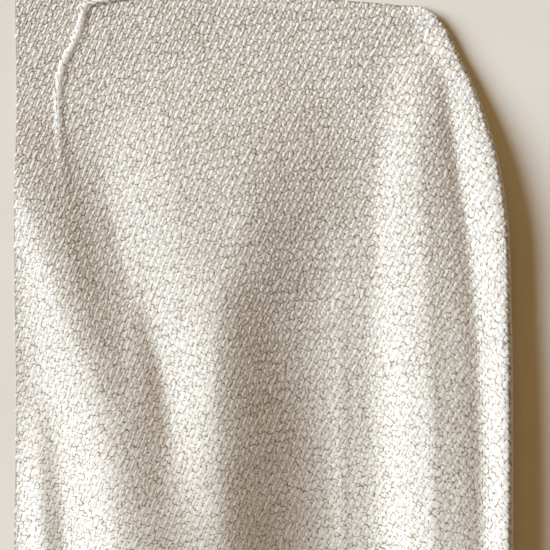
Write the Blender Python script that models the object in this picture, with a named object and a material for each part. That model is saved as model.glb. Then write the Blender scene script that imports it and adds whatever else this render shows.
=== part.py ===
"""Sofa throw: a cut length of heavy crepe-woven cloth, lying on a surface in soft folds.

One closed sheet. Sizes in the tables are millimetres: x runs to the right, y runs up the cloth to its top edge, and
z is the height above the surface that it lies on. The origin is the middle of the footprint.
"""

import bmesh
import bpy
import numpy as np

MM = 0.001
NODE = "throw"

# Cloth
THICKNESS = 2.4
CREAM = (0.72, 0.66, 0.57, 1.0)
ROUGHNESS = 0.92

# Outline in plan. The left, top and lower sides are plain edges. The right side is a fold that is tucked under.
TOP_EDGE = (
    # x, y
    (-199.0, 240.0),
    (-140.0, 237.0),
    (-10.0, 225.6),
    (54.0, 220.0),
    (110.0, 215.2),
    (130.0, 212.4),
    (137.0, 207.0),
)
LEFT_EDGE = (
    # y, x
    (-240.0, -199.0),
    (-110.0, -197.2),
    (10.0, -198.6),
    (130.0, -196.8),
    (240.0, -198.2),
)
LOWER_EDGE = (
    # x, y
    (-199.0, -239.0),
    (-106.0, -240.5),
    (-30.0, -238.8),
    (60.0, -240.6),
    (140.0, -238.6),
    (193.0, -240.0),
)
RIGHT_CREST = (
    # y, x of the crest, crest height, reach of the roll past the crest, length tucked under
    (212.0, 134.6, 5.0, 2.2, 4.0),
    (195.0, 144.4, 6.5, 2.4, 5.0),
    (176.0, 152.8, 8.0, 2.8, 6.0),
    (158.0, 161.3, 10.0, 3.1, 8.0),
    (128.0, 172.9, 14.5, 3.5, 10.0),
    (105.0, 180.0, 18.0, 3.6, 12.0),
    (60.0, 188.6, 23.5, 3.8, 15.0),
    (-36.0, 193.0, 27.0, 4.2, 18.0),
    (-110.0, 193.6, 29.5, 4.4, 20.0),
    (-240.0, 193.4, 31.0, 4.6, 22.0),
)
RISE_TO_CREST = (
    # y, width of the rise on the crest's left
    (212.0, 20.0),
    (176.0, 28.0),
    (128.0, 40.0),
    (60.0, 46.0),
    (12.0, 44.0),
    (-36.0, 40.0),
    (-132.0, 36.0),
    (-240.0, 36.0),
)

# Folds. Each is a smooth ridge along its crest, level with the surface outside its two widths. A shape over 1 makes
# that side broad at the crest and steep at the foot, and a shape under 1 the other way round.
FOLD_COLUMNS = ("y", "crest_x", "height", "left_width", "right_width", "left_shape", "right_shape")
FOLDS = {
    "outer_fold": (
        (-60.0, -177.0, 0.0, 22.0, 28.0, 1.0, 1.0),
        (-132.0, -175.0, 7.0, 24.0, 34.0, 1.0, 1.0),
        (-180.0, -174.0, 11.5, 25.0, 38.0, 1.0, 1.0),
        (-240.0, -172.0, 14.5, 27.0, 40.0, 1.0, 1.0),
    ),
    "left_fold": (
        (150.0, -236.0, 2.0, 40.0, 50.0, 1.0, 1.0),
        (108.0, -204.0, 7.0, 40.0, 60.0, 1.0, 1.0),
        (60.0, -186.0, 10.0, 36.0, 68.0, 1.0, 1.0),
        (12.0, -167.0, 12.5, 34.0, 68.0, 1.0, 1.0),
        (-36.0, -149.5, 16.5, 48.0, 84.0, 1.0, 1.0),
        (-84.0, -130.0, 22.5, 64.0, 88.0, 1.0, 1.0),
        (-132.0, -117.0, 29.5, 72.0, 98.0, 1.0, 1.0),
        (-180.0, -111.0, 36.0, 74.0, 114.0, 1.0, 1.0),
        (-240.0, -106.0, 40.5, 76.0, 130.0, 1.0, 1.0),
    ),
    "slanted_fold": (
        (176.0, -44.0, 0.0, 90.0, 90.0, 2.0, 0.9),
        (150.0, -30.0, 3.0, 106.0, 100.0, 2.0, 0.9),
        (108.0, -18.0, 9.0, 116.0, 104.0, 2.0, 0.9),
        (60.0, -18.0, 13.5, 112.0, 100.0, 2.0, 0.85),
        (12.0, -28.0, 16.5, 98.0, 95.0, 1.35, 0.82),
        (-36.0, -37.0, 21.0, 88.0, 86.0, 0.9, 0.82),
        (-84.0, -38.0, 26.0, 74.0, 90.0, 0.85, 0.82),
        (-132.0, -37.0, 29.0, 79.0, 94.0, 0.95, 0.82),
        (-180.0, -36.0, 30.5, 90.0, 94.0, 1.0, 0.82),
        (-240.0, -34.0, 30.5, 96.0, 93.0, 1.0, 0.82),
    ),
    "right_fold": (
        (196.0, 132.0, 0.0, 34.0, 24.0, 0.9, 1.7),
        (176.0, 130.0, 3.0, 36.0, 26.0, 0.9, 1.7),
        (156.0, 128.0, 6.5, 37.0, 30.0, 0.9, 1.7),
        (108.0, 126.0, 11.5, 37.0, 38.0, 0.9, 1.7),
        (60.0, 129.0, 14.5, 45.0, 46.0, 0.9, 1.7),
        (12.0, 132.0, 17.5, 48.0, 54.0, 0.9, 1.7),
        (-36.0, 134.0, 20.5, 53.0, 60.0, 0.9, 1.7),
        (-132.0, 137.0, 25.0, 56.0, 65.0, 0.85, 1.7),
        (-240.0, 139.0, 26.5, 57.0, 67.0, 0.85, 1.7),
    ),
}
BLEND_POWER = 3.0

# The pinched crest at the upper left, and the one that turns off it along the top edge.
PINCH_CREST = (
    # y, crest_x, height, half width
    (226.0, -136.4, 0.0, 6.0),
    (216.5, -140.0, 3.2, 4.6),
    (191.0, -148.0, 3.2, 4.6),
    (160.0, -160.5, 3.2, 4.6),
    (128.0, -164.0, 2.8, 5.0),
    (96.0, -164.5, 1.6, 7.0),
    (66.0, -165.5, 0.0, 9.0),
)
TURNED_CREST = (
    # x, crest_y, height, half width
    (-150.0, 214.0, 0.0, 7.0),
    (-140.0, 216.8, 3.0, 7.0),
    (-106.0, 224.0, 3.0, 7.0),
    (-76.0, 226.5, 2.2, 8.0),
    (0.0, 216.0, 1.6, 9.0),
    (110.0, 206.0, 1.4, 9.0),
)

# Mesh. The columns follow the pinched crest and are closer there, and the rows are closer at the top edge.
PINCH_PLACE = 41.0
RIGHT_PLACE = 385.0
PINCH_COLUMNS = (-7.5, -4.6, -2.3, 0.0, 2.3, 4.6, 7.5)
COLUMN_STEP = 10.8
TOP_ROWS = (0.0, 3.5, 7.0, 10.5, 14.0, 17.5, 21.0, 26.0)
ROW_STEP = 10.8
ROLL_STEPS = 9
TUCK_STEPS = 2


def along(table, column, place):
    """A column of a table at a place, on a smooth curve through its rows, held level past both ends."""
    rows = np.array(sorted(table))
    knots = rows[:, 0]
    values = rows[:, column]
    slopes = np.gradient(values, knots)
    slopes[[0, -1]] = 0.0
    place = np.clip(place, knots[0], knots[-1])
    index = np.clip(np.searchsorted(knots, place) - 1, 0, len(knots) - 2)
    gap = knots[index + 1] - knots[index]
    t = (place - knots[index]) / gap
    start = (1 + 2 * t) * (1 - t) ** 2 * values[index] + t * (1 - t) ** 2 * gap * slopes[index]
    end = t * t * (3 - 2 * t) * values[index + 1] + t * t * (t - 1) * gap * slopes[index + 1]
    return start + end


def ridge(offset, height, left_width, right_width, left_shape=1.0, right_shape=1.0):
    """Height of a ridge at an offset from its crest."""
    width = np.where(offset < 0, left_width, right_width)
    shape = np.where(offset < 0, left_shape, right_shape)
    t = np.clip(np.abs(offset) / width, 0.0, 1.0) ** shape
    return np.maximum(height, 0.0) * np.cos(0.5 * np.pi * t) ** 2


def even_ridge(table, across, place):
    """Height of a ridge that is the same on both sides, from a table of crest, height and half width."""
    crest, height, half_width = (along(table, column, place) for column in (1, 2, 3))
    return ridge(across - crest, height, half_width, half_width)


def fold_height(x, y):
    """Height of the underside of the cloth at x, y, as far as the crest on its right side."""
    ridges = []
    for rows in FOLDS.values():
        crest, *form = (along(rows, column, y) for column in range(1, len(FOLD_COLUMNS)))
        ridges.append(ridge(x - crest, *form))
    rise = along(RISE_TO_CREST, 1, y)
    ridges.append(ridge(x - along(RIGHT_CREST, 1, y), along(RIGHT_CREST, 2, y), rise, rise))
    folds = sum(height ** BLEND_POWER for height in ridges) ** (1 / BLEND_POWER)
    return folds + np.maximum(even_ridge(PINCH_CREST, x, y), even_ridge(TURNED_CREST, y, x))


def even_places(start, end, step):
    """Places after start up to end, as near to the step as an even spacing allows."""
    return start + np.linspace(0, end - start, round((end - start) / step) + 1)[1:]


def column_places():
    """Distance of each column from the left edge, on the sheet's widest row."""
    pinch = PINCH_PLACE + np.array(PINCH_COLUMNS)
    left = np.concatenate([[0.0], even_places(0.0, pinch[0], COLUMN_STEP)[:-1]])
    return np.concatenate([left, pinch, even_places(pinch[-1], RIGHT_PLACE, COLUMN_STEP)])


def row_shares():
    """Share of the way from the top edge to the lower edge, for each row."""
    length = TOP_EDGE[0][1] - LOWER_EDGE[0][1]
    return np.concatenate([TOP_ROWS, even_places(TOP_ROWS[-1], length, ROW_STEP)]) / length


def row_points(share, places):
    """Points of one row, halfway through the cloth: from the left edge over the folds to the tucked end."""
    base = 0.5 * THICKNESS
    first_x, corner_x = TOP_EDGE[0][0], TOP_EDGE[-1][0]
    top = along(TOP_EDGE, 1, first_x + places / RIGHT_PLACE * (corner_x - first_x))
    lower = along(LOWER_EDGE, 1, first_x + places)
    y = top + share * (lower - top)
    left = along(LEFT_EDGE, 1, y)
    pinch = along(PINCH_CREST, 1, y)
    right = along(RIGHT_CREST, 1, y)
    before = left + places / PINCH_PLACE * (pinch - left)
    after = pinch + (places - PINCH_PLACE) / (RIGHT_PLACE - PINCH_PLACE) * (right - pinch)
    x = np.where(places < PINCH_PLACE, before, after)
    z = base + fold_height(x, y)
    reach, tuck = (along(RIGHT_CREST, column, y[-1]) for column in (3, 4))
    angles = np.linspace(0, np.pi, ROLL_STEPS + 1)[1:]
    roll_x = x[-1] + reach * np.sin(angles)
    roll_z = base + 0.5 * (z[-1] - base) * (1 + np.cos(angles))
    tuck_x = x[-1] - tuck * np.arange(1, TUCK_STEPS + 1) / TUCK_STEPS
    xs = np.concatenate([x, roll_x, tuck_x])
    ys = np.concatenate([y, np.full(ROLL_STEPS + TUCK_STEPS, y[-1])])
    zs = np.concatenate([z, roll_z, np.full(TUCK_STEPS, base)])
    return np.stack([xs, ys, zs], axis=1)


def middle_surface():
    """Grid of points halfway through the cloth."""
    places = column_places()
    return np.array([row_points(share, places) for share in row_shares()])


def both_faces(grid):
    """The grid moved out to the cloth's upper and lower face, with the whole centred on its footprint."""
    normals = np.cross(np.gradient(grid, axis=1), -np.gradient(grid, axis=0))
    normals *= 0.5 * THICKNESS / np.linalg.norm(normals, axis=2, keepdims=True)
    faces = np.concatenate([(grid + normals).reshape(-1, 3), (grid - normals).reshape(-1, 3)])
    low, high = faces.min(axis=0), faces.max(axis=0)
    middle = 0.5 * (low + high)
    return faces - (middle[0], middle[1], low[2])


def closed_sheet(grid):
    """Mesh of the sheet: an upper and a lower face with a rim between them."""
    rows, columns, _ = grid.shape
    below = rows * columns
    mesh = bmesh.new()
    verts = [mesh.verts.new(point) for point in both_faces(grid) * MM]
    for i in range(rows - 1):
        for j in range(columns - 1):
            a = i * columns + j
            b = a + columns
            mesh.faces.new((verts[a], verts[b], verts[b + 1], verts[a + 1]))
            mesh.faces.new((verts[below + a], verts[below + a + 1], verts[below + b + 1], verts[below + b]))
    first = list(range(columns))
    right = [i * columns + columns - 1 for i in range(1, rows)]
    last = [(rows - 1) * columns + j for j in range(columns - 2, -1, -1)]
    left = [i * columns for i in range(rows - 2, 0, -1)]
    rim = first + right + last + left
    for a, b in zip(rim, rim[1:] + rim[:1]):
        mesh.faces.new((verts[a], verts[b], verts[below + b], verts[below + a]))
    bmesh.ops.triangulate(mesh, faces=mesh.faces)
    return mesh


def cloth_material():
    material = bpy.data.materials.new("cream crepe cloth")
    material.use_nodes = True
    shader = material.node_tree.nodes["Principled BSDF"]
    shader.inputs["Base Color"].default_value = CREAM
    shader.inputs["Roughness"].default_value = ROUGHNESS
    shader.inputs["Metallic"].default_value = 0.0
    material.diffuse_color = CREAM
    return material


def build_throw():
    solid = closed_sheet(middle_surface())
    data = bpy.data.meshes.new(NODE)
    solid.to_mesh(data)
    solid.free()
    data.shade_smooth()
    data.materials.append(cloth_material())
    throw = bpy.data.objects.new(NODE, data)
    bpy.context.scene.collection.objects.link(throw)
    return throw


def clear_scene():
    for item in list(bpy.data.objects):
        bpy.data.objects.remove(item, do_unlink=True)


clear_scene()
build_throw()
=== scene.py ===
"""Looks of the sofa throw: the cloth's fine folds, its crepe weave of raised yarn floats, light and camera.

The outline and the folds repeat the solid's, in millimetres. A cloth place is (s, t): s is the distance along
the cloth across its folds, from the flat valley, and t is the distance up the cloth.
"""

import math

import bpy
import numpy as np
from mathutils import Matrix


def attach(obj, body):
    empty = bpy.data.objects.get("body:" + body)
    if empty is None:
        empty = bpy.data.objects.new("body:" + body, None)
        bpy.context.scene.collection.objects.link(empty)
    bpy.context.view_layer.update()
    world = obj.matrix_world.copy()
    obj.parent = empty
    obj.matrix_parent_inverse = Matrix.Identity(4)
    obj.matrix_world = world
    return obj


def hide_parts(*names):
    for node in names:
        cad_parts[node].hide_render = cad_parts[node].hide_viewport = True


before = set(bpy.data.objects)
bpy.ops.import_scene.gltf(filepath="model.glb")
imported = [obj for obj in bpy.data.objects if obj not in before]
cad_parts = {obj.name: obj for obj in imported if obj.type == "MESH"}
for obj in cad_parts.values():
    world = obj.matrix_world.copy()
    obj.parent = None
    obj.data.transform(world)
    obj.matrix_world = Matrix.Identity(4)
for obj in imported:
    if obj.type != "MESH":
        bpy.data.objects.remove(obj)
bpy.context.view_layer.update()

MM = 0.001
TINY = 1e-9
CLOTH_NODE = "throw"
BODY = "root"

# Outline in plan, as in the solid.
TOP_EDGE = (
    # x, y
    (-199.0, 240.0),
    (-140.0, 237.0),
    (-10.0, 225.6),
    (54.0, 220.0),
    (110.0, 215.2),
    (130.0, 212.4),
    (137.0, 207.0),
)
LEFT_EDGE = (
    # y, x
    (-240.0, -199.0),
    (-110.0, -197.2),
    (10.0, -198.6),
    (130.0, -196.8),
    (240.0, -198.2),
)
LOWER_EDGE = (
    # x, y
    (-199.0, -239.0),
    (-106.0, -240.5),
    (-30.0, -238.8),
    (60.0, -240.6),
    (140.0, -238.6),
    (193.0, -240.0),
)
RIGHT_CREST = (
    # y, x of the crest, crest height, reach of the roll past the crest, length tucked under
    (212.0, 134.6, 5.0, 2.2, 4.0),
    (195.0, 144.4, 6.5, 2.4, 5.0),
    (176.0, 152.8, 8.0, 2.8, 6.0),
    (158.0, 161.3, 10.0, 3.1, 8.0),
    (128.0, 172.9, 14.5, 3.5, 10.0),
    (105.0, 180.0, 18.0, 3.6, 12.0),
    (60.0, 188.6, 23.5, 3.8, 15.0),
    (-36.0, 193.0, 27.0, 4.2, 18.0),
    (-110.0, 193.6, 29.5, 4.4, 20.0),
    (-240.0, 193.4, 31.0, 4.6, 22.0),
)
RISE_TO_CREST = (
    # y, width of the rise on the crest's left
    (212.0, 20.0),
    (176.0, 28.0),
    (128.0, 40.0),
    (60.0, 46.0),
    (12.0, 44.0),
    (-36.0, 40.0),
    (-132.0, 36.0),
    (-240.0, 36.0),
)

# Folds, as in the solid.
FOLD_COLUMNS = ("y", "crest_x", "height", "left_width", "right_width", "left_shape", "right_shape")
FOLDS = {
    "outer_fold": (
        (-60.0, -177.0, 0.0, 22.0, 28.0, 1.0, 1.0),
        (-132.0, -175.0, 7.0, 24.0, 34.0, 1.0, 1.0),
        (-180.0, -174.0, 11.5, 25.0, 38.0, 1.0, 1.0),
        (-240.0, -172.0, 14.5, 27.0, 40.0, 1.0, 1.0),
    ),
    "left_fold": (
        (150.0, -236.0, 2.0, 40.0, 50.0, 1.0, 1.0),
        (108.0, -204.0, 7.0, 40.0, 60.0, 1.0, 1.0),
        (60.0, -186.0, 10.0, 36.0, 68.0, 1.0, 1.0),
        (12.0, -167.0, 12.5, 34.0, 68.0, 1.0, 1.0),
        (-36.0, -149.5, 16.5, 48.0, 84.0, 1.0, 1.0),
        (-84.0, -130.0, 22.5, 64.0, 88.0, 1.0, 1.0),
        (-132.0, -117.0, 29.5, 72.0, 98.0, 1.0, 1.0),
        (-180.0, -111.0, 36.0, 74.0, 114.0, 1.0, 1.0),
        (-240.0, -106.0, 40.5, 76.0, 130.0, 1.0, 1.0),
    ),
    "slanted_fold": (
        (176.0, -44.0, 0.0, 90.0, 90.0, 2.0, 0.9),
        (150.0, -30.0, 3.0, 106.0, 100.0, 2.0, 0.9),
        (108.0, -18.0, 9.0, 116.0, 104.0, 2.0, 0.9),
        (60.0, -18.0, 13.5, 112.0, 100.0, 2.0, 0.85),
        (12.0, -28.0, 16.5, 98.0, 95.0, 1.35, 0.82),
        (-36.0, -37.0, 21.0, 88.0, 86.0, 0.9, 0.82),
        (-84.0, -38.0, 26.0, 74.0, 90.0, 0.85, 0.82),
        (-132.0, -37.0, 29.0, 79.0, 94.0, 0.95, 0.82),
        (-180.0, -36.0, 30.5, 90.0, 94.0, 1.0, 0.82),
        (-240.0, -34.0, 30.5, 96.0, 93.0, 1.0, 0.82),
    ),
    "right_fold": (
        (196.0, 132.0, 0.0, 34.0, 24.0, 0.9, 1.7),
        (176.0, 130.0, 3.0, 36.0, 26.0, 0.9, 1.7),
        (156.0, 128.0, 6.5, 37.0, 30.0, 0.9, 1.7),
        (108.0, 126.0, 11.5, 37.0, 38.0, 0.9, 1.7),
        (60.0, 129.0, 14.5, 45.0, 46.0, 0.9, 1.7),
        (12.0, 132.0, 17.5, 48.0, 54.0, 0.9, 1.7),
        (-36.0, 134.0, 20.5, 53.0, 60.0, 0.9, 1.7),
        (-132.0, 137.0, 25.0, 56.0, 65.0, 0.85, 1.7),
        (-240.0, 139.0, 26.5, 57.0, 67.0, 0.85, 1.7),
    ),
}
# Folds that meet are merged by this power of their heights.
BLEND_POWER = 3.0

# The two small crests are lower than the solid's and steeper on one side. The hollows are only here.
PINCH_CREST = (
    # y, crest_x, height, width on the left and on the right
    (226.0, -138.4, 0.0, 4.0, 7.0),
    (214.0, -143.0, 2.0, 3.2, 8.0),
    (191.0, -149.4, 2.0, 3.2, 8.5),
    (167.0, -161.0, 2.0, 3.2, 8.5),
    (152.0, -163.8, 1.9, 3.4, 8.0),
    (128.0, -163.8, 1.6, 3.8, 7.0),
    (96.0, -161.4, 1.0, 5.5, 7.0),
    (60.0, -159.0, 0.0, 8.0, 9.0),
)
TURNED_CREST = (
    # x, crest_y, height, width below and above
    (-152.0, 212.6, 0.0, 3.0, 4.0),
    (-141.0, 215.2, 2.6, 2.2, 5.0),
    (-122.0, 219.2, 2.8, 2.2, 6.0),
    (-106.0, 222.2, 2.4, 2.4, 6.0),
    (-76.0, 226.0, 1.6, 5.0, 6.0),
    (0.0, 216.0, 1.2, 9.0, 9.0),
    (110.0, 206.0, 1.0, 9.0, 9.0),
)
HOLLOWS = {
    # y, middle_x, depth, half width
    "right_hollow": (
        (150.0, 142.0, 0.0, 24.0),
        (90.0, 144.0, 1.2, 28.0),
        (20.0, 148.0, 2.0, 32.0),
        (-80.0, 150.0, 2.1, 34.0),
        (-240.0, 151.0, 2.1, 34.0),
    ),
    "left_hollow": (
        (100.0, -150.0, 0.0, 18.0),
        (48.0, -143.0, 1.0, 20.0),
        (-24.0, -125.0, 1.6, 25.0),
        (-80.0, -112.0, 0.8, 24.0),
        (-120.0, -105.0, 0.0, 22.0),
    ),
}

# Small unevenness: soft creases up the cloth, and slow waves.
CREASES = {
    # y, crest_x, height, half width
    "valley_crease": (
        (60.0, 62.0, 0.0, 9.0),
        (-20.0, 62.5, 0.35, 9.0),
        (-130.0, 63.0, 0.65, 9.0),
        (-240.0, 63.5, 0.65, 9.0),
    ),
    "left_crease": (
        (20.0, -104.0, 0.0, 12.0),
        (-24.0, -101.0, 0.9, 13.0),
        (-88.0, -93.0, 1.3, 21.0),
        (-130.0, -88.0, 0.5, 20.0),
        (-160.0, -85.0, 0.0, 20.0),
    ),
    "upper_crease": (
        (190.0, -90.0, 0.0, 9.0),
        (120.0, -78.0, 0.4, 10.0),
        (40.0, -66.0, 0.3, 10.0),
        (0.0, -60.0, 0.0, 9.0),
    ),
    "right_crease": (
        (130.0, 106.0, 0.0, 14.0),
        (80.0, 106.0, 1.2, 15.0),
        (40.0, 104.0, 1.6, 16.0),
        (-30.0, 106.0, 1.7, 17.0),
        (-110.0, 111.0, 1.6, 17.0),
        (-240.0, 113.0, 1.6, 17.0),
    ),
}
WAVES = (
    # height, length, direction in degrees, phase
    (0.20, 61.0, 24.0, 0.4),
    (0.16, 43.0, 105.0, 2.1),
    (0.14, 87.0, 64.0, 4.0),
)
WAVE_FADE = 12.0
# How far the unevenness may reach below flat.
LOWEST = -0.6
# Half the solid's thickness: the height of the cloth's middle where it lies flat.
MIDDLE_LIFT = 1.2

# Ground cloth under the floats.
HALF_GROUND = 0.45
COLUMN_STEP = 2.3
ROW_STEP = 2.1
ROLL_STEPS = 16
TUCK_STEPS = 8

# Sampled surface on which the floats are laid.
VALLEY_X = 75.0
SAMPLE_STEP = 1.0
SAMPLE_X = (-204.0, 200.0)
SAMPLE_Y = (-243.0, 243.0)
# The sampled roll and tuck have this many times the ground's steps.
SAMPLE_FINENESS = 3
# Keeps a place inside the last cell of the sampled grid.
LAST_CELL = 1.001

# Weave. Warp floats run up to the right and stand proud. Weft floats cross them and lie lower.
WARP_PITCH = 2.65
WEFT_PITCH = 2.3
WARP_ANGLE = 63.0
# Distance from the valley where the shear starts and where it is full, and its strength.
SHEAR_RIGHT = (40.0, 130.0, 0.75)
SHEAR_LEFT = (60.0, 200.0, 0.4)
CREPE_CHART = (
    # Each row is a warp and each place along it a weft. A mark is a crossing with the warp on top.
    "XXX.",
    "..X.",
    ".XXX",
    "X..X",
    "XX.X",
    ".X..",
)
FLIP_SHARE = 0.2
LONGEST_FLOAT = 3
BREAKING_PASSES = 3
SEED = 11
FLOATS = {
    # Width, height and tone at the odd and at the even warp yarns, of which the even ones stand prouder and
    # the odd ones are darker, a painted shade of the lower floats; length past the crossings; stations along
    # and across.
    "warp": {
        "width": (2.6, 3.5), "height": (0.16, 0.34), "tone": (0.22, 0.75),
        "extra": 1.3, "along": 5, "across": 5,
    },
    "weft": {
        "width": (2.75, 2.9), "height": (0.13, 0.21), "tone": (0.28, 0.6),
        "extra": 1.1, "along": 4, "across": 4,
    },
}
# A float over this many crossings or more shows as two beads, each this share of its length from its middle.
TWO_BEADS_FROM = 3
BEAD_SIDES = (-0.25, 0.25)
SHORTEST_FLOAT = 1.2
TRIM_STATIONS = 9
# Form of a float: how its stations crowd towards its ends, how it narrows and bows down there, how round it
# is across, and how deep it sits in the ground.
STATION_POWER = 0.85
END_NARROWING = 0.94
NARROWING_POWER = 2.6
BOW_POWERS = (2.4, 0.6)
FLOAT_PROFILE = 0.9
SINK = 0.12
# Relief and fullness of the floats at the lower and at the upper edge of the cloth.
RELIEF_SHARE = (0.38, 1.28)
FULLNESS = (1.06, 1.02)
# How the floats differ from each other, and the tone to which shallow floats keep: the painted shade of the
# lower floats fades with their relief.
HEIGHT_RANGE = (0.75, 1.25)
LENGTH_RANGE = (0.88, 1.08)
WIDTH_RANGE = (0.86, 1.14)
TILT_SPREAD = 8.0
SLIP_SPREAD = 0.23
TONE_SPREAD = 0.1
EVEN_TONE = 0.55
FIBRE_OFFSET = 40.0
# The yarn is drawn tight over the small crests: between which crest heights, and what that does to it. Its
# lighter tone there is a painted highlight on the crests.
TIGHT_HEIGHTS = (0.9, 1.8)
TIGHT_FLATTENS = 0.75
TIGHT_FILLS = 0.25
TIGHT_PAINTED_HIGHLIGHT = 0.3
# Slow waves of the yarns in the cloth's own plane.
WANDER = (
    # how far, length, direction in degrees, phase
    (0.5, 47.0, 20.0, 0.3),
    (0.45, 31.0, 97.0, 1.9),
    (0.35, 23.0, 145.0, 4.1),
    (0.25, 12.0, 35.0, 2.2),
)
MOST_TRIANGLES = 190000
EDGE_MARGIN = 0.3


def along(table, column, place):
    """A column of a table at a place, on a smooth curve through its rows, held level past both ends."""
    rows = np.array(sorted(table))
    knots = rows[:, 0]
    values = rows[:, column]
    slopes = np.gradient(values, knots)
    slopes[[0, -1]] = 0.0
    place = np.clip(place, knots[0], knots[-1])
    index = np.clip(np.searchsorted(knots, place) - 1, 0, len(knots) - 2)
    gap = knots[index + 1] - knots[index]
    t = (place - knots[index]) / gap
    start = (1 + 2 * t) * (1 - t) ** 2 * values[index] + t * (1 - t) ** 2 * gap * slopes[index]
    end = t * t * (3 - 2 * t) * values[index + 1] + t * t * (t - 1) * gap * slopes[index + 1]
    return start + end


def ridge(offset, height, left_width, right_width, left_shape=1.0, right_shape=1.0):
    """Height of a ridge at an offset from its crest."""
    width = np.where(offset < 0, left_width, right_width)
    shape = np.where(offset < 0, left_shape, right_shape)
    t = np.clip(np.abs(offset) / width, 0.0, 1.0) ** shape
    return np.maximum(height, 0.0) * np.cos(0.5 * np.pi * t) ** 2


def even_ridge(table, across, place):
    """Height of a small ridge, from a table of crest, height and either its half width or its two widths."""
    crest, height, *widths = (along(table, column, place) for column in range(1, len(table[0])))
    return ridge(across - crest, height, widths[0], widths[-1])


def unevenness(x, y):
    """Creases and slow waves."""
    total = sum(even_ridge(rows, x, y) for rows in CREASES.values())
    for height, length, degrees, phase in WAVES:
        angle = math.radians(degrees)
        way = x * math.cos(angle) + y * math.sin(angle)
        total = total + height * np.sin(2 * np.pi * way / length + phase)
    return total


def fold_height(x, y):
    """Height of the cloth above where it lies flat, as far as the crest on its right side."""
    ridges = []
    for rows in FOLDS.values():
        crest, *form = (along(rows, column, y) for column in range(1, len(FOLD_COLUMNS)))
        ridges.append(ridge(x - crest, *form))
    rise = along(RISE_TO_CREST, 1, y)
    right = along(RIGHT_CREST, 1, y)
    ridges.append(ridge(x - right, along(RIGHT_CREST, 2, y), rise, rise))
    folds = sum(height ** BLEND_POWER for height in ridges) ** (1 / BLEND_POWER)
    folds = folds + np.maximum(even_ridge(PINCH_CREST, x, y), even_ridge(TURNED_CREST, y, x))
    folds = folds - sum(even_ridge(rows, x, y) for rows in HOLLOWS.values())
    fade = np.clip((right - x) / WAVE_FADE, 0.0, 1.0)
    return np.maximum(folds + fade * unevenness(x, y), LOWEST)


def roll_and_tuck(y, crest_z, roll_steps, tuck_steps):
    """x and z of the cloth past the right crest, for each y: down around the roll and back under it."""
    right, reach, tuck = (along(RIGHT_CREST, column, y)[:, None] for column in (1, 3, 4))
    angles = np.linspace(0, np.pi, roll_steps + 1)[None, 1:]
    roll_x = right + reach * np.sin(angles)
    roll_z = MIDDLE_LIFT + 0.5 * (crest_z[:, None] - MIDDLE_LIFT) * (1 + np.cos(angles))
    tuck_x = right - tuck * np.arange(1, tuck_steps + 1)[None, :] / tuck_steps
    tuck_z = np.full(tuck_x.shape, MIDDLE_LIFT)
    return np.concatenate([roll_x, tuck_x], axis=1), np.concatenate([roll_z, tuck_z], axis=1)


def length_along(x, z):
    """Distance along each line of points."""
    steps = np.hypot(np.diff(x, axis=1), np.diff(z, axis=1))
    return np.concatenate([np.zeros((len(x), 1)), np.cumsum(steps, axis=1)], axis=1)


def sample_surface():
    """The cloth's middle and its normals on an even grid of cloth places, and where the grid lies."""
    y = np.arange(SAMPLE_Y[0], SAMPLE_Y[1] + SAMPLE_STEP, SAMPLE_STEP)
    right = along(RIGHT_CREST, 1, y)
    count = int((SAMPLE_X[1] - SAMPLE_X[0]) / SAMPLE_STEP)
    x = SAMPLE_X[0] + np.linspace(0, 1, count)[None, :] * (right[:, None] - SAMPLE_X[0])
    z = MIDDLE_LIFT + fold_height(x, y[:, None] + 0 * x)
    more_x, more_z = roll_and_tuck(y, z[:, -1], SAMPLE_FINENESS * ROLL_STEPS, SAMPLE_FINENESS * TUCK_STEPS)
    x = np.concatenate([x, more_x], axis=1)
    z = np.concatenate([z, more_z], axis=1)
    s = length_along(x, z)
    origin = np.array([np.interp(VALLEY_X, row_x[:count], row_s[:count]) for row_x, row_s in zip(x, s)])
    s = s - origin[:, None]
    places = np.arange(s[:, 0].min(), s[:, -1].max(), SAMPLE_STEP)
    points = np.empty((len(y), len(places), 3))
    for i in range(len(y)):
        points[i, :, 0] = np.interp(places, s[i], x[i])
        points[i, :, 1] = y[i]
        points[i, :, 2] = np.interp(places, s[i], z[i])
    normals = np.cross(np.gradient(points, axis=1), np.gradient(points, axis=0))
    length = np.linalg.norm(normals, axis=2, keepdims=True)
    return {
        "points": points,
        "normals": normals / np.maximum(length, TINY),
        "s0": places[0],
        "t0": y[0],
        "first": s[:, 0],
        "last": s[:, -1],
        "lines": (x[:, :count], s[:, :count]),
        "y": y,
    }


def sampled(grid, name, s, t):
    """A sampled grid read at cloth places, evenly between its points."""
    values = grid[name]
    rows, columns = values.shape[:2]
    i = np.clip((t - grid["t0"]) / SAMPLE_STEP, 0, rows - LAST_CELL)
    j = np.clip((s - grid["s0"]) / SAMPLE_STEP, 0, columns - LAST_CELL)
    i0, j0 = i.astype(int), j.astype(int)
    a, b = (i - i0)[..., None], (j - j0)[..., None]
    upper = values[i0, j0] * (1 - b) + values[i0, j0 + 1] * b
    lower = values[i0 + 1, j0] * (1 - b) + values[i0 + 1, j0 + 1] * b
    return upper * (1 - a) + lower * a


def on_cloth(grid, s, t, lift):
    """Points at a height above the cloth's middle."""
    return sampled(grid, "points", s, t) + sampled(grid, "normals", s, t) * lift[..., None]


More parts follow.
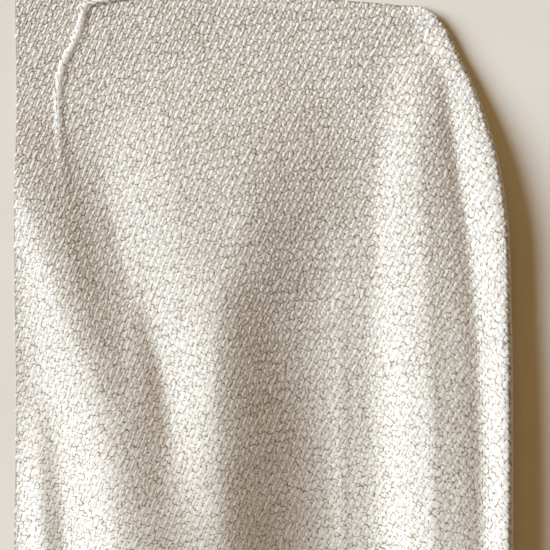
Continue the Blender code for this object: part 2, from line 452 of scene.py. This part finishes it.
def shear(s):
    """How far the weave is drawn down the cloth, so that its warp turns towards both sides."""
    right = np.clip((s - SHEAR_RIGHT[0]) / (SHEAR_RIGHT[1] - SHEAR_RIGHT[0]), 0, None)
    left = np.clip((-s - SHEAR_LEFT[0]) / (SHEAR_LEFT[1] - SHEAR_LEFT[0]), 0, None)
    drawn_right = np.where(right < 1, 0.5 * right ** 2, right - 0.5) * (SHEAR_RIGHT[1] - SHEAR_RIGHT[0])
    drawn_left = np.where(left < 1, 0.5 * left ** 2, left - 0.5) * (SHEAR_LEFT[1] - SHEAR_LEFT[0])
    return SHEAR_RIGHT[2] * drawn_right + SHEAR_LEFT[2] * drawn_left


def cloth_place(across, up):
    """Cloth place from distances across the warp yarns and up along them."""
    angle = math.radians(WARP_ANGLE)
    for reach, length, degrees, phase in WANDER:
        way = math.radians(degrees)
        bend = reach * np.sin(2 * np.pi * (across * math.cos(way) + up * math.sin(way)) / length + phase)
        across, up = across + bend * math.sin(way + phase), up + bend * math.cos(way + phase)
    s = across * math.sin(angle) + up * math.cos(angle)
    return s, up * math.sin(angle) - across * math.cos(angle) - shear(s)


def weave_place(s, t):
    """Distances across the warp yarns and up along them, from a cloth place."""
    angle = math.radians(WARP_ANGLE)
    level = t + shear(s)
    return s * math.sin(angle) - level * math.cos(angle), s * math.cos(angle) + level * math.sin(angle)


def inside_cloth(grid, s, t):
    """Where a cloth place lies within the cloth's edges."""
    point = sampled(grid, "points", s, t)
    x = point[..., 0]
    end = np.interp(t, grid["y"], grid["last"])
    inside = (t < along(TOP_EDGE, 1, x) - EDGE_MARGIN) & (t > along(LOWER_EDGE, 1, x) + EDGE_MARGIN)
    return inside & (x > along(LEFT_EDGE, 1, t) + EDGE_MARGIN) & (s < end - EDGE_MARGIN)


def runs_of(marks):
    """(line, first place, count) of each run of marks along the lines of a chart."""
    padded = np.pad(marks.astype(np.int8), ((0, 0), (1, 1)))
    change = np.diff(padded, axis=1)
    line, start = np.nonzero(change == 1)
    return np.stack([line, start, np.nonzero(change == -1)[1] - start], axis=1)


def broken(marks):
    """Marks with every run along the lines that is too long for a float broken by turning one mark over."""
    marks = marks.copy()
    place = np.zeros(len(marks), dtype=int)
    for column in range(marks.shape[1]):
        place = np.where(marks[:, column], place + 1, 0)
        marks[place > LONGEST_FLOAT, column] = False
        place[place > LONGEST_FLOAT] = 0
    return marks


def woven_chart(rng, warps, wefts):
    """The crepe chart repeated over the cloth, with some crossings turned over and long floats broken."""
    chart = np.array([[mark == "X" for mark in row] for row in CREPE_CHART])
    marks = chart[np.arange(warps)[:, None] % chart.shape[0], np.arange(wefts)[None, :] % chart.shape[1]]
    marks = marks ^ (rng.random(marks.shape) < FLIP_SHARE)
    for _ in range(BREAKING_PASSES):
        marks = broken(marks)
        marks = ~broken(~marks.T).T
    return marks


def beads_of(runs):
    """(line, middle, count, share of the extra length) of each bead: a long float shows as two."""
    line, start, count = runs.T
    middle = start + 0.5 * (count - 1)
    single = count < TWO_BEADS_FROM
    double = ~single
    found = [np.stack([line[single], middle[single], count[single], np.ones(single.sum())])]
    for side in BEAD_SIDES:
        place = middle[double] + side * count[double]
        found.append(np.stack([line[double], place, 0.5 * count[double], np.full(double.sum(), 0.5)]))
    return np.concatenate(found, axis=1)


def float_places(rng, grid):
    """For each kind of float: its middle across and up, its length and how near an even warp yarn it is."""
    s = np.array([grid["first"].min(), grid["last"].max()])
    corners = [weave_place(a, np.array(b)) for a in s for b in SAMPLE_Y]
    across = np.array([float(corner[0]) for corner in corners])
    up = np.array([float(corner[1]) for corner in corners])
    first_warp, last_warp = int(across.min() / WARP_PITCH) - 1, int(across.max() / WARP_PITCH) + 2
    first_weft, last_weft = int(up.min() / WEFT_PITCH) - 1, int(up.max() / WEFT_PITCH) + 2
    marks = woven_chart(rng, last_warp - first_warp, last_weft - first_weft)
    warp, warp_at, warp_count, warp_ends = beads_of(runs_of(marks))
    weft, weft_at, weft_count, weft_ends = beads_of(runs_of(~marks.T))
    warp_length = warp_count * WEFT_PITCH + warp_ends * FLOATS["warp"]["extra"]
    weft_length = weft_count * WARP_PITCH + weft_ends * FLOATS["weft"]["extra"]
    warp_even = (warp + 1.0) % 2
    weft_even = np.cos(0.5 * np.pi * weft_at) ** 2
    warp_middle = ((first_warp + warp) * WARP_PITCH, (first_weft + warp_at) * WEFT_PITCH)
    weft_middle = ((first_warp + weft_at) * WARP_PITCH, (first_weft + weft) * WEFT_PITCH)
    return {
        "warp": (*warp_middle, warp_length, warp_even),
        "weft": (*weft_middle, weft_length, weft_even),
    }


def trimmed(grid, across, up, length, even, is_warp):
    """Floats cut to the part of them that lies on the cloth."""
    shares = np.linspace(-0.5, 0.5, TRIM_STATIONS)[None, :]
    run = shares * length[:, None]
    if is_warp:
        s, t = cloth_place(across[:, None] + 0 * run, up[:, None] + run)
    else:
        s, t = cloth_place(across[:, None] + run, up[:, None] + 0 * run)
    inside = inside_cloth(grid, s, t)
    low = np.where(inside, run, np.inf).min(axis=1)
    high = np.where(inside, run, -np.inf).max(axis=1)
    keep = high - low > SHORTEST_FLOAT
    across, up, low, high, even = across[keep], up[keep], low[keep], high[keep], even[keep]
    middle = 0.5 * (low + high)
    if is_warp:
        return across, up + middle, high - low, even
    return across + middle, up, high - low, even


def tightness(grid, s, t):
    """How tight the yarn is drawn over the pinched and the turned crest, from 0 to 1."""
    point = sampled(grid, "points", s, t)
    x, y = point[..., 0], point[..., 1]
    height = np.maximum(even_ridge(PINCH_CREST, x, y), even_ridge(TURNED_CREST, y, x))
    return np.interp(height, TIGHT_HEIGHTS, (0.0, 1.0))


def per_float(values):
    """One value for each float, shaped to spread over its points."""
    return values[:, None, None]


def float_grids(rng, grid, kind, across, up, length, even):
    """Points, tones and yarn coordinates of all floats of a kind: (float, station along, station across)."""
    form = FLOATS[kind]
    is_warp = kind == "warp"
    across, up, length, even = trimmed(grid, across, up, length, even, is_warp)
    count = len(across)
    # The odd floats' darker tone, scaled below by their relief, is painted shade of the lower floats.
    width, height, tone = (np.interp(even, (0, 1), form[name]) for name in ("width", "height", "tone"))
    middle_s, middle_t = cloth_place(across, up)
    tight = tightness(grid, middle_s, middle_t)
    share = np.interp(middle_t, SAMPLE_Y, RELIEF_SHARE) * (1 - TIGHT_FLATTENS * tight)
    fullness = np.interp(middle_t, SAMPLE_Y, FULLNESS) * (1 + TIGHT_FILLS * tight)
    # Over the small crests the tone is raised: a painted highlight.
    tone = EVEN_TONE + (tone - EVEN_TONE) * share + TIGHT_PAINTED_HIGHLIGHT * tight
    height = per_float(height * rng.uniform(*HEIGHT_RANGE, count) * share)
    sink = per_float(SINK * share)
    length = per_float(length * rng.uniform(*LENGTH_RANGE, count) * fullness)
    width = per_float(width * rng.uniform(*WIDTH_RANGE, count) * fullness)
    tilt = per_float(np.radians(rng.normal(0, TILT_SPREAD, count)))
    slip_across, slip_up = rng.normal(0, SLIP_SPREAD, (2, count))
    run = np.linspace(-1, 1, form["along"])
    run = (np.sign(run) * np.abs(run) ** STATION_POWER)[None, :, None]
    turn = np.linspace(-0.5 * np.pi, 0.5 * np.pi, form["across"])[None, None, :]
    swell = np.sqrt(np.clip(1 - END_NARROWING * np.abs(run) ** NARROWING_POWER, 0, 1))
    bow = np.clip(1 - np.abs(run) ** BOW_POWERS[0], 0, 1) ** BOW_POWERS[1]
    a = 0.5 * length * run + 0 * turn
    b = 0.5 * width * swell * np.sin(turn)
    lift = HALF_GROUND - sink + (height + sink) * bow * np.cos(turn) ** FLOAT_PROFILE
    a, b = a * np.cos(tilt) - b * np.sin(tilt), a * np.sin(tilt) + b * np.cos(tilt)
    sideways, onward = (b, a) if is_warp else (a, -b)
    place_across = per_float(across) + sideways + per_float(slip_across)
    place_up = per_float(up) + onward + per_float(slip_up)
    s, t = cloth_place(place_across, place_up)
    points = on_cloth(grid, s, t, lift)
    tone = per_float(np.clip(rng.normal(tone, TONE_SPREAD, count), 0, 1)) + 0 * a
    yarn = np.stack([a + per_float(rng.uniform(0, FIBRE_OFFSET, count)), b], axis=-1)
    order = np.argsort(across, kind="stable")
    return points[order], tone[order], yarn[order]


def add_floats(kind, points, tone, yarn, shift, material):
    """Joined meshes of floats, each under the triangle limit. Each float is a dome, its rim in the ground."""
    count, rows, columns, _ = points.shape
    triangles = count * 2 * (rows - 1) * (columns - 1)
    pieces = math.ceil(triangles / MOST_TRIANGLES)
    made = []
    for number, part in enumerate(np.array_split(np.arange(count), pieces), 1):
        first = np.arange(len(part))[:, None, None] * rows * columns
        corner = first + np.arange(rows - 1)[None, :, None] * columns + np.arange(columns - 1)[None, None, :]
        faces = np.stack([corner, corner + 1, corner + columns + 1, corner + columns], axis=-1).reshape(-1, 4)
        if kind == "warp":
            faces = faces[:, ::-1]
        verts = (points[part].reshape(-1, 3) - shift) * MM
        piece = mesh_piece(f"{kind}_floats_{number}", verts, faces, material)
        tones = piece.data.attributes.new("tone", "FLOAT", "POINT")
        tones.data.foreach_set("value", tone[part].reshape(-1).astype(np.float32))
        set_uv(piece, yarn[part].reshape(-1, 2))
        made.append(piece)
    return made


def mesh_piece(name, verts, faces, material):
    """A smooth mesh object from arrays of points and four-sided faces."""
    data = bpy.data.meshes.new(name)
    data.vertices.add(len(verts))
    data.vertices.foreach_set("co", np.ascontiguousarray(verts, dtype=np.float32).reshape(-1))
    data.loops.add(faces.size)
    data.loops.foreach_set("vertex_index", np.ascontiguousarray(faces, dtype=np.int32).reshape(-1))
    data.polygons.add(len(faces))
    data.polygons.foreach_set("loop_start", np.arange(0, faces.size, 4, dtype=np.int32))
    data.polygons.foreach_set("loop_total", np.full(len(faces), 4, dtype=np.int32))
    data.update(calc_edges=True)
    data.validate()
    data.shade_smooth()
    data.materials.append(material)
    piece = bpy.data.objects.new(name, data)
    bpy.context.scene.collection.objects.link(piece)
    return piece


def set_uv(piece, values):
    """A UV map from a pair of numbers for each point."""
    corner = np.empty(len(piece.data.loops), dtype=np.int32)
    piece.data.loops.foreach_get("vertex_index", corner)
    layer = piece.data.uv_layers.new(name="yarn")
    layer.data.foreach_set("uv", np.ascontiguousarray(values[corner], dtype=np.float32).reshape(-1))


def ground_grid():
    """Grid of points halfway through the ground cloth."""
    first_x, corner_x = TOP_EDGE[0][0], TOP_EDGE[-1][0]
    widest = RIGHT_CREST[-1][1] - first_x
    places = np.linspace(0, widest, round(widest / COLUMN_STEP) + 1)
    length = TOP_EDGE[0][1] - LOWER_EDGE[0][1]
    shares = np.linspace(0, 1, round(length / ROW_STEP) + 1)
    top = along(TOP_EDGE, 1, first_x + places / widest * (corner_x - first_x))
    lower = along(LOWER_EDGE, 1, first_x + places)
    y = top[None, :] + shares[:, None] * (lower - top)[None, :]
    left = along(LEFT_EDGE, 1, y)
    x = left + places[None, :] / widest * (along(RIGHT_CREST, 1, y) - left)
    z = MIDDLE_LIFT + fold_height(x, y)
    end_y = y[:, -1]
    more_x, more_z = roll_and_tuck(end_y, z[:, -1], ROLL_STEPS, TUCK_STEPS)
    more_y = end_y[:, None] + 0 * more_x
    return np.stack([np.concatenate([x, more_x], axis=1), np.concatenate([y, more_y], axis=1),
                     np.concatenate([z, more_z], axis=1)], axis=-1)


def ground_uv(grid, points):
    """Warp and weft numbers of each point of the ground, and its distance along the cloth."""
    x, y, z = (points[..., k] for k in range(3))
    flat_columns = x.shape[1] - ROLL_STEPS - TUCK_STEPS
    line_x, line_s = grid["lines"]
    row = np.clip(((y - grid["t0"]) / SAMPLE_STEP).round().astype(int), 0, len(line_x) - 1)
    s = np.empty(x.shape)
    for i in range(x.shape[0]):
        for j in range(flat_columns):
            s[i, j] = np.interp(x[i, j], line_x[row[i, j]], line_s[row[i, j]])
    edge = slice(flat_columns - 1, None)
    s[:, edge] = s[:, [flat_columns - 1]] + length_along(x[:, edge], z[:, edge])
    across, up = weave_place(s, y)
    return np.stack([across / WARP_PITCH, up / WEFT_PITCH], axis=-1), s


def add_ground(grid, material):
    """The ground cloth as a closed sheet, the shift that centres it, its flat size and its flat area."""
    points = ground_grid()
    numbers, s = ground_uv(grid, points)
    normals = np.cross(np.gradient(points, axis=1), -np.gradient(points, axis=0))
    normals *= 1 / np.linalg.norm(normals, axis=2, keepdims=True)
    outer = np.concatenate([(points + normals * MIDDLE_LIFT).reshape(-1, 3),
                            (points - normals * MIDDLE_LIFT).reshape(-1, 3)])
    middle = 0.5 * (outer.min(axis=0) + outer.max(axis=0))
    shift = np.array([middle[0], middle[1], 0.0])
    normals *= HALF_GROUND
    rows, columns, _ = points.shape
    below = rows * columns
    verts = np.concatenate([(points + normals).reshape(-1, 3), (points - normals).reshape(-1, 3)])
    corner = (np.arange(rows - 1)[:, None] * columns + np.arange(columns - 1)[None, :]).reshape(-1)
    upper = np.stack([corner, corner + columns, corner + columns + 1, corner + 1], axis=-1)
    lower = upper[:, ::-1] + below
    first = list(range(columns))
    right = [i * columns + columns - 1 for i in range(1, rows)]
    last = [(rows - 1) * columns + j for j in range(columns - 2, -1, -1)]
    left = [i * columns for i in range(rows - 2, 0, -1)]
    rim = np.array(first + right + last + left)
    ahead = np.roll(rim, -1)
    side = np.stack([rim, ahead, ahead + below, rim + below], axis=-1)
    piece = mesh_piece("throw_cloth", (verts - shift) * MM, np.concatenate([upper, lower, side]), material)
    set_uv(piece, np.concatenate([numbers.reshape(-1, 2)] * 2))
    y = points[..., 1]
    flat = np.stack([s, y], axis=-1)
    a, b = flat[1:, 1:] - flat[:-1, :-1], flat[1:, :-1] - flat[:-1, 1:]
    area = 0.5 * np.abs(a[..., 0] * b[..., 1] - a[..., 1] * b[..., 0]).sum()
    size = (s.max() - s.min(), y.max() - y.min())
    return piece, shift, size, area


class Nodes:
    """A material's nodes, added and joined by name."""

    def __init__(self, name):
        self.material = bpy.data.materials.new(name)
        self.material.use_nodes = True
        self.tree = self.material.node_tree
        self.shader = self.tree.nodes["Principled BSDF"]

    def add(self, kind, **settings):
        node = self.tree.nodes.new(kind)
        for key, value in settings.items():
            setattr(node, key, value)
        return node

    def join(self, output, target):
        self.tree.links.new(output, target)

    def math(self, operation, a, b=None):
        node = self.add("ShaderNodeMath", operation=operation)
        for index, value in enumerate((a, b)):
            if value is None:
                continue
            if isinstance(value, (int, float)):
                node.inputs[index].default_value = value
            else:
                self.join(value, node.inputs[index])
        return node.outputs[0]

    def ramp(self, factor, places, tones):
        node = self.add("ShaderNodeValToRGB")
        for element, place, colour in zip(node.color_ramp.elements, places, tones):
            element.position = place
            element.color = (*colour, 1.0)
        self.join(factor, node.inputs[0])
        return node.outputs[0]

    def noise(self, coordinates, scale, detail):
        node = self.add("ShaderNodeTexNoise")
        node.inputs["Scale"].default_value = scale
        node.inputs["Detail"].default_value = detail
        self.join(coordinates, node.inputs["Vector"])
        return node.outputs[0]

    def colour(self, output):
        self.join(output, self.shader.inputs["Base Color"])

    def bump(self, height, strength, distance):
        node = self.add("ShaderNodeBump")
        node.inputs["Strength"].default_value = strength
        node.inputs["Distance"].default_value = distance
        self.join(height, node.inputs["Height"])
        self.join(node.outputs[0], self.shader.inputs["Normal"])

    def finish(self, roughness, sheen):
        self.shader.inputs["Roughness"].default_value = roughness
        self.shader.inputs["Sheen Weight"].default_value = sheen
        self.shader.inputs["Sheen Roughness"].default_value = SHEEN_ROUGHNESS
        self.shader.inputs["Specular IOR Level"].default_value = SPECULAR_LEVEL
        return self.material


# Finish. Tones are the darkest and the lightest, noise is a scale and a detail, and bump a strength and a
# distance in metres.
SHEEN_ROUGHNESS = 0.6
SPECULAR_LEVEL = 0.25
NO_SHEEN = 0.0
WARP_TONES = ((0.66, 0.62, 0.57), (0.90, 0.885, 0.865))
WARP_SHEEN = 0.15
WEFT_TONES = ((0.62, 0.575, 0.52), (0.88, 0.86, 0.83))
WEFT_SHEEN = 0.1
YARN_RAMP = (0.15, 0.85)
YARN_NOISE = (5.0, 2.0)
YARN_BUMP = (0.5, 0.00012)
YARN_ROUGHNESS = 0.86
PLY_SLANT = (3.2, 4.4)
PLY_SHARE = 0.5
FLOAT_TONE_SHARE = 0.75
FIBRE_SHARE = 0.3
# The ground's dark brown tones are painted shade in the pits between the floats.
GROUND_PAINTED_SHADE_TONES = ((0.305, 0.26, 0.205), (0.45, 0.388, 0.32))
GROUND_RAMP = (0.2, 0.9)
GROUND_NOISE = (2.5, 3.0)
GROUND_BUMP = (0.8, 0.0006)
GROUND_ROUGHNESS = 0.92
CROSSING_SHARE = 0.5
FLOOR_TONES = ((0.83, 0.795, 0.75), (0.87, 0.835, 0.79))
FLOOR_RAMP = (0.3, 0.7)
FLOOR_NOISE = (6.0, 3.0)
FLOOR_ROUGHNESS = 0.9


def yarn_material(name, tones, sheen):
    """Wool yarn: a tone for each float, and plied fibres along it."""
    nodes = Nodes(name)
    uv = nodes.add("ShaderNodeUVMap", uv_map="yarn").outputs[0]
    tone = nodes.add("ShaderNodeAttribute", attribute_name="tone").outputs["Fac"]
    parts = nodes.add("ShaderNodeSeparateXYZ")
    nodes.join(uv, parts.inputs[0])
    onward, sideways = (nodes.math("MULTIPLY", parts.outputs[k], PLY_SLANT[k]) for k in range(2))
    ply = nodes.math("SINE", nodes.math("ADD", onward, sideways))
    fibre = nodes.noise(uv, *YARN_NOISE)
    float_share = nodes.math("MULTIPLY", tone, FLOAT_TONE_SHARE)
    mixed = nodes.math("ADD", float_share, nodes.math("MULTIPLY", fibre, FIBRE_SHARE))
    nodes.colour(nodes.ramp(mixed, YARN_RAMP, tones))
    nodes.bump(nodes.math("ADD", nodes.math("MULTIPLY", ply, PLY_SHARE), fibre), *YARN_BUMP)
    return nodes.finish(YARN_ROUGHNESS, sheen)


def ground_material():
    """The ground between the floats, dark brown as painted shade in the pits between them: darker crossings,
    in low relief.
    """
    nodes = Nodes("crepe ground painted shade")
    uv = nodes.add("ShaderNodeUVMap", uv_map="yarn").outputs[0]
    parts = nodes.add("ShaderNodeSeparateXYZ")
    nodes.join(uv, parts.inputs[0])
    warp, weft = (nodes.math("SINE", nodes.math("MULTIPLY", parts.outputs[k], math.pi)) for k in range(2))
    crossing = nodes.math("MULTIPLY", warp, weft)
    fibre = nodes.noise(uv, *GROUND_NOISE)
    level = nodes.math("ADD", nodes.math("MULTIPLY", crossing, CROSSING_SHARE), fibre)
    nodes.colour(nodes.ramp(level, GROUND_RAMP, GROUND_PAINTED_SHADE_TONES))
    nodes.bump(level, *GROUND_BUMP)
    return nodes.finish(GROUND_ROUGHNESS, NO_SHEEN)


def floor_material():
    """A pale, plain floor with a faint cloudiness."""
    nodes = Nodes("pale floor")
    place = nodes.add("ShaderNodeTexCoord").outputs["Object"]
    nodes.colour(nodes.ramp(nodes.noise(place, *FLOOR_NOISE), FLOOR_RAMP, FLOOR_TONES))
    return nodes.finish(FLOOR_ROUGHNESS, NO_SHEEN)


def build_cloth():
    """The ground cloth and the floats of its weave, which stand for the solid."""
    rng = np.random.default_rng(SEED)
    grid = sample_surface()
    ground, shift, size, area = add_ground(grid, ground_material())
    materials = {
        "warp": yarn_material("crepe warp", WARP_TONES, WARP_SHEEN),
        "weft": yarn_material("crepe weft", WEFT_TONES, WEFT_SHEEN),
    }
    floats = []
    for kind, places in float_places(rng, grid).items():
        floats += add_floats(kind, *float_grids(rng, grid, kind, *places), shift, materials[kind])
    for piece in [ground] + floats:
        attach(piece, BODY)
    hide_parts(CLOTH_NODE)


# Camera, floor and light. The camera stands straight above the cloth. The key comes over the left edge, and
# the warm light over the top edge.
VIEW_MIDDLE_X = 9.6
VIEW_SIDE = 440.0
CAMERA_HEIGHT = 2.2
LENS_MM = 100.0
FLOOR_SIDE = 4.0
KEY_AZIMUTH = 168.0
KEY_ELEVATION = 31.0
KEY_SOFTNESS = 40.0
KEY_STRENGTH = 4.6
KEY_COLOUR = (0.84, 0.93, 1.0)
WARM_AZIMUTH = 95.0
WARM_ELEVATION = 30.0
WARM_SOFTNESS = 60.0
WARM_STRENGTH = 0.5
WARM_COLOUR = (1.0, 0.7, 0.3)
FILL_COLOUR = (1.0, 0.57, 0.18)
FILL_STRENGTH = 0.148


def build_floor():
    """The floor, which isn't part of the object."""
    half = 0.5 * FLOOR_SIDE
    verts = np.array([(-half, -half, 0), (half, -half, 0), (half, half, 0), (-half, half, 0)])
    floor = mesh_piece("floor", verts, np.array([[0, 1, 2, 3]]), floor_material())


def add_light(name, azimuth, elevation, softness, strength, colour):
    """A soft light from far away, from the right at azimuth 0 and turning anticlockwise."""
    data = bpy.data.lights.new(name, "SUN")
    data.energy = strength
    data.angle = math.radians(softness)
    data.color = colour
    light = bpy.data.objects.new(name, data)
    light.rotation_euler = (0, math.radians(90 - elevation), math.radians(azimuth))
    bpy.context.scene.collection.objects.link(light)


def build_light():
    """The two lights and the even light all round."""
    add_light("key", KEY_AZIMUTH, KEY_ELEVATION, KEY_SOFTNESS, KEY_STRENGTH, KEY_COLOUR)
    add_light("warm fill", WARM_AZIMUTH, WARM_ELEVATION, WARM_SOFTNESS, WARM_STRENGTH, WARM_COLOUR)
    world = bpy.data.worlds.new("studio")
    world.use_nodes = True
    background = world.node_tree.nodes["Background"]
    background.inputs["Color"].default_value = (*FILL_COLOUR, 1.0)
    background.inputs["Strength"].default_value = FILL_STRENGTH
    bpy.context.scene.world = world


def build_camera():
    """A camera far above the cloth, framed as the photograph is."""
    data = bpy.data.cameras.new("camera")
    data.lens = LENS_MM
    data.sensor_width = LENS_MM * VIEW_SIDE * MM / CAMERA_HEIGHT
    data.sensor_fit = "HORIZONTAL"
    camera = bpy.data.objects.new("camera", data)
    camera.location = (VIEW_MIDDLE_X * MM, 0, CAMERA_HEIGHT)
    bpy.context.scene.collection.objects.link(camera)
    bpy.context.scene.camera = camera
    bpy.context.scene.view_settings.view_transform = "Standard"


build_cloth()
build_floor()
build_light()
build_camera()
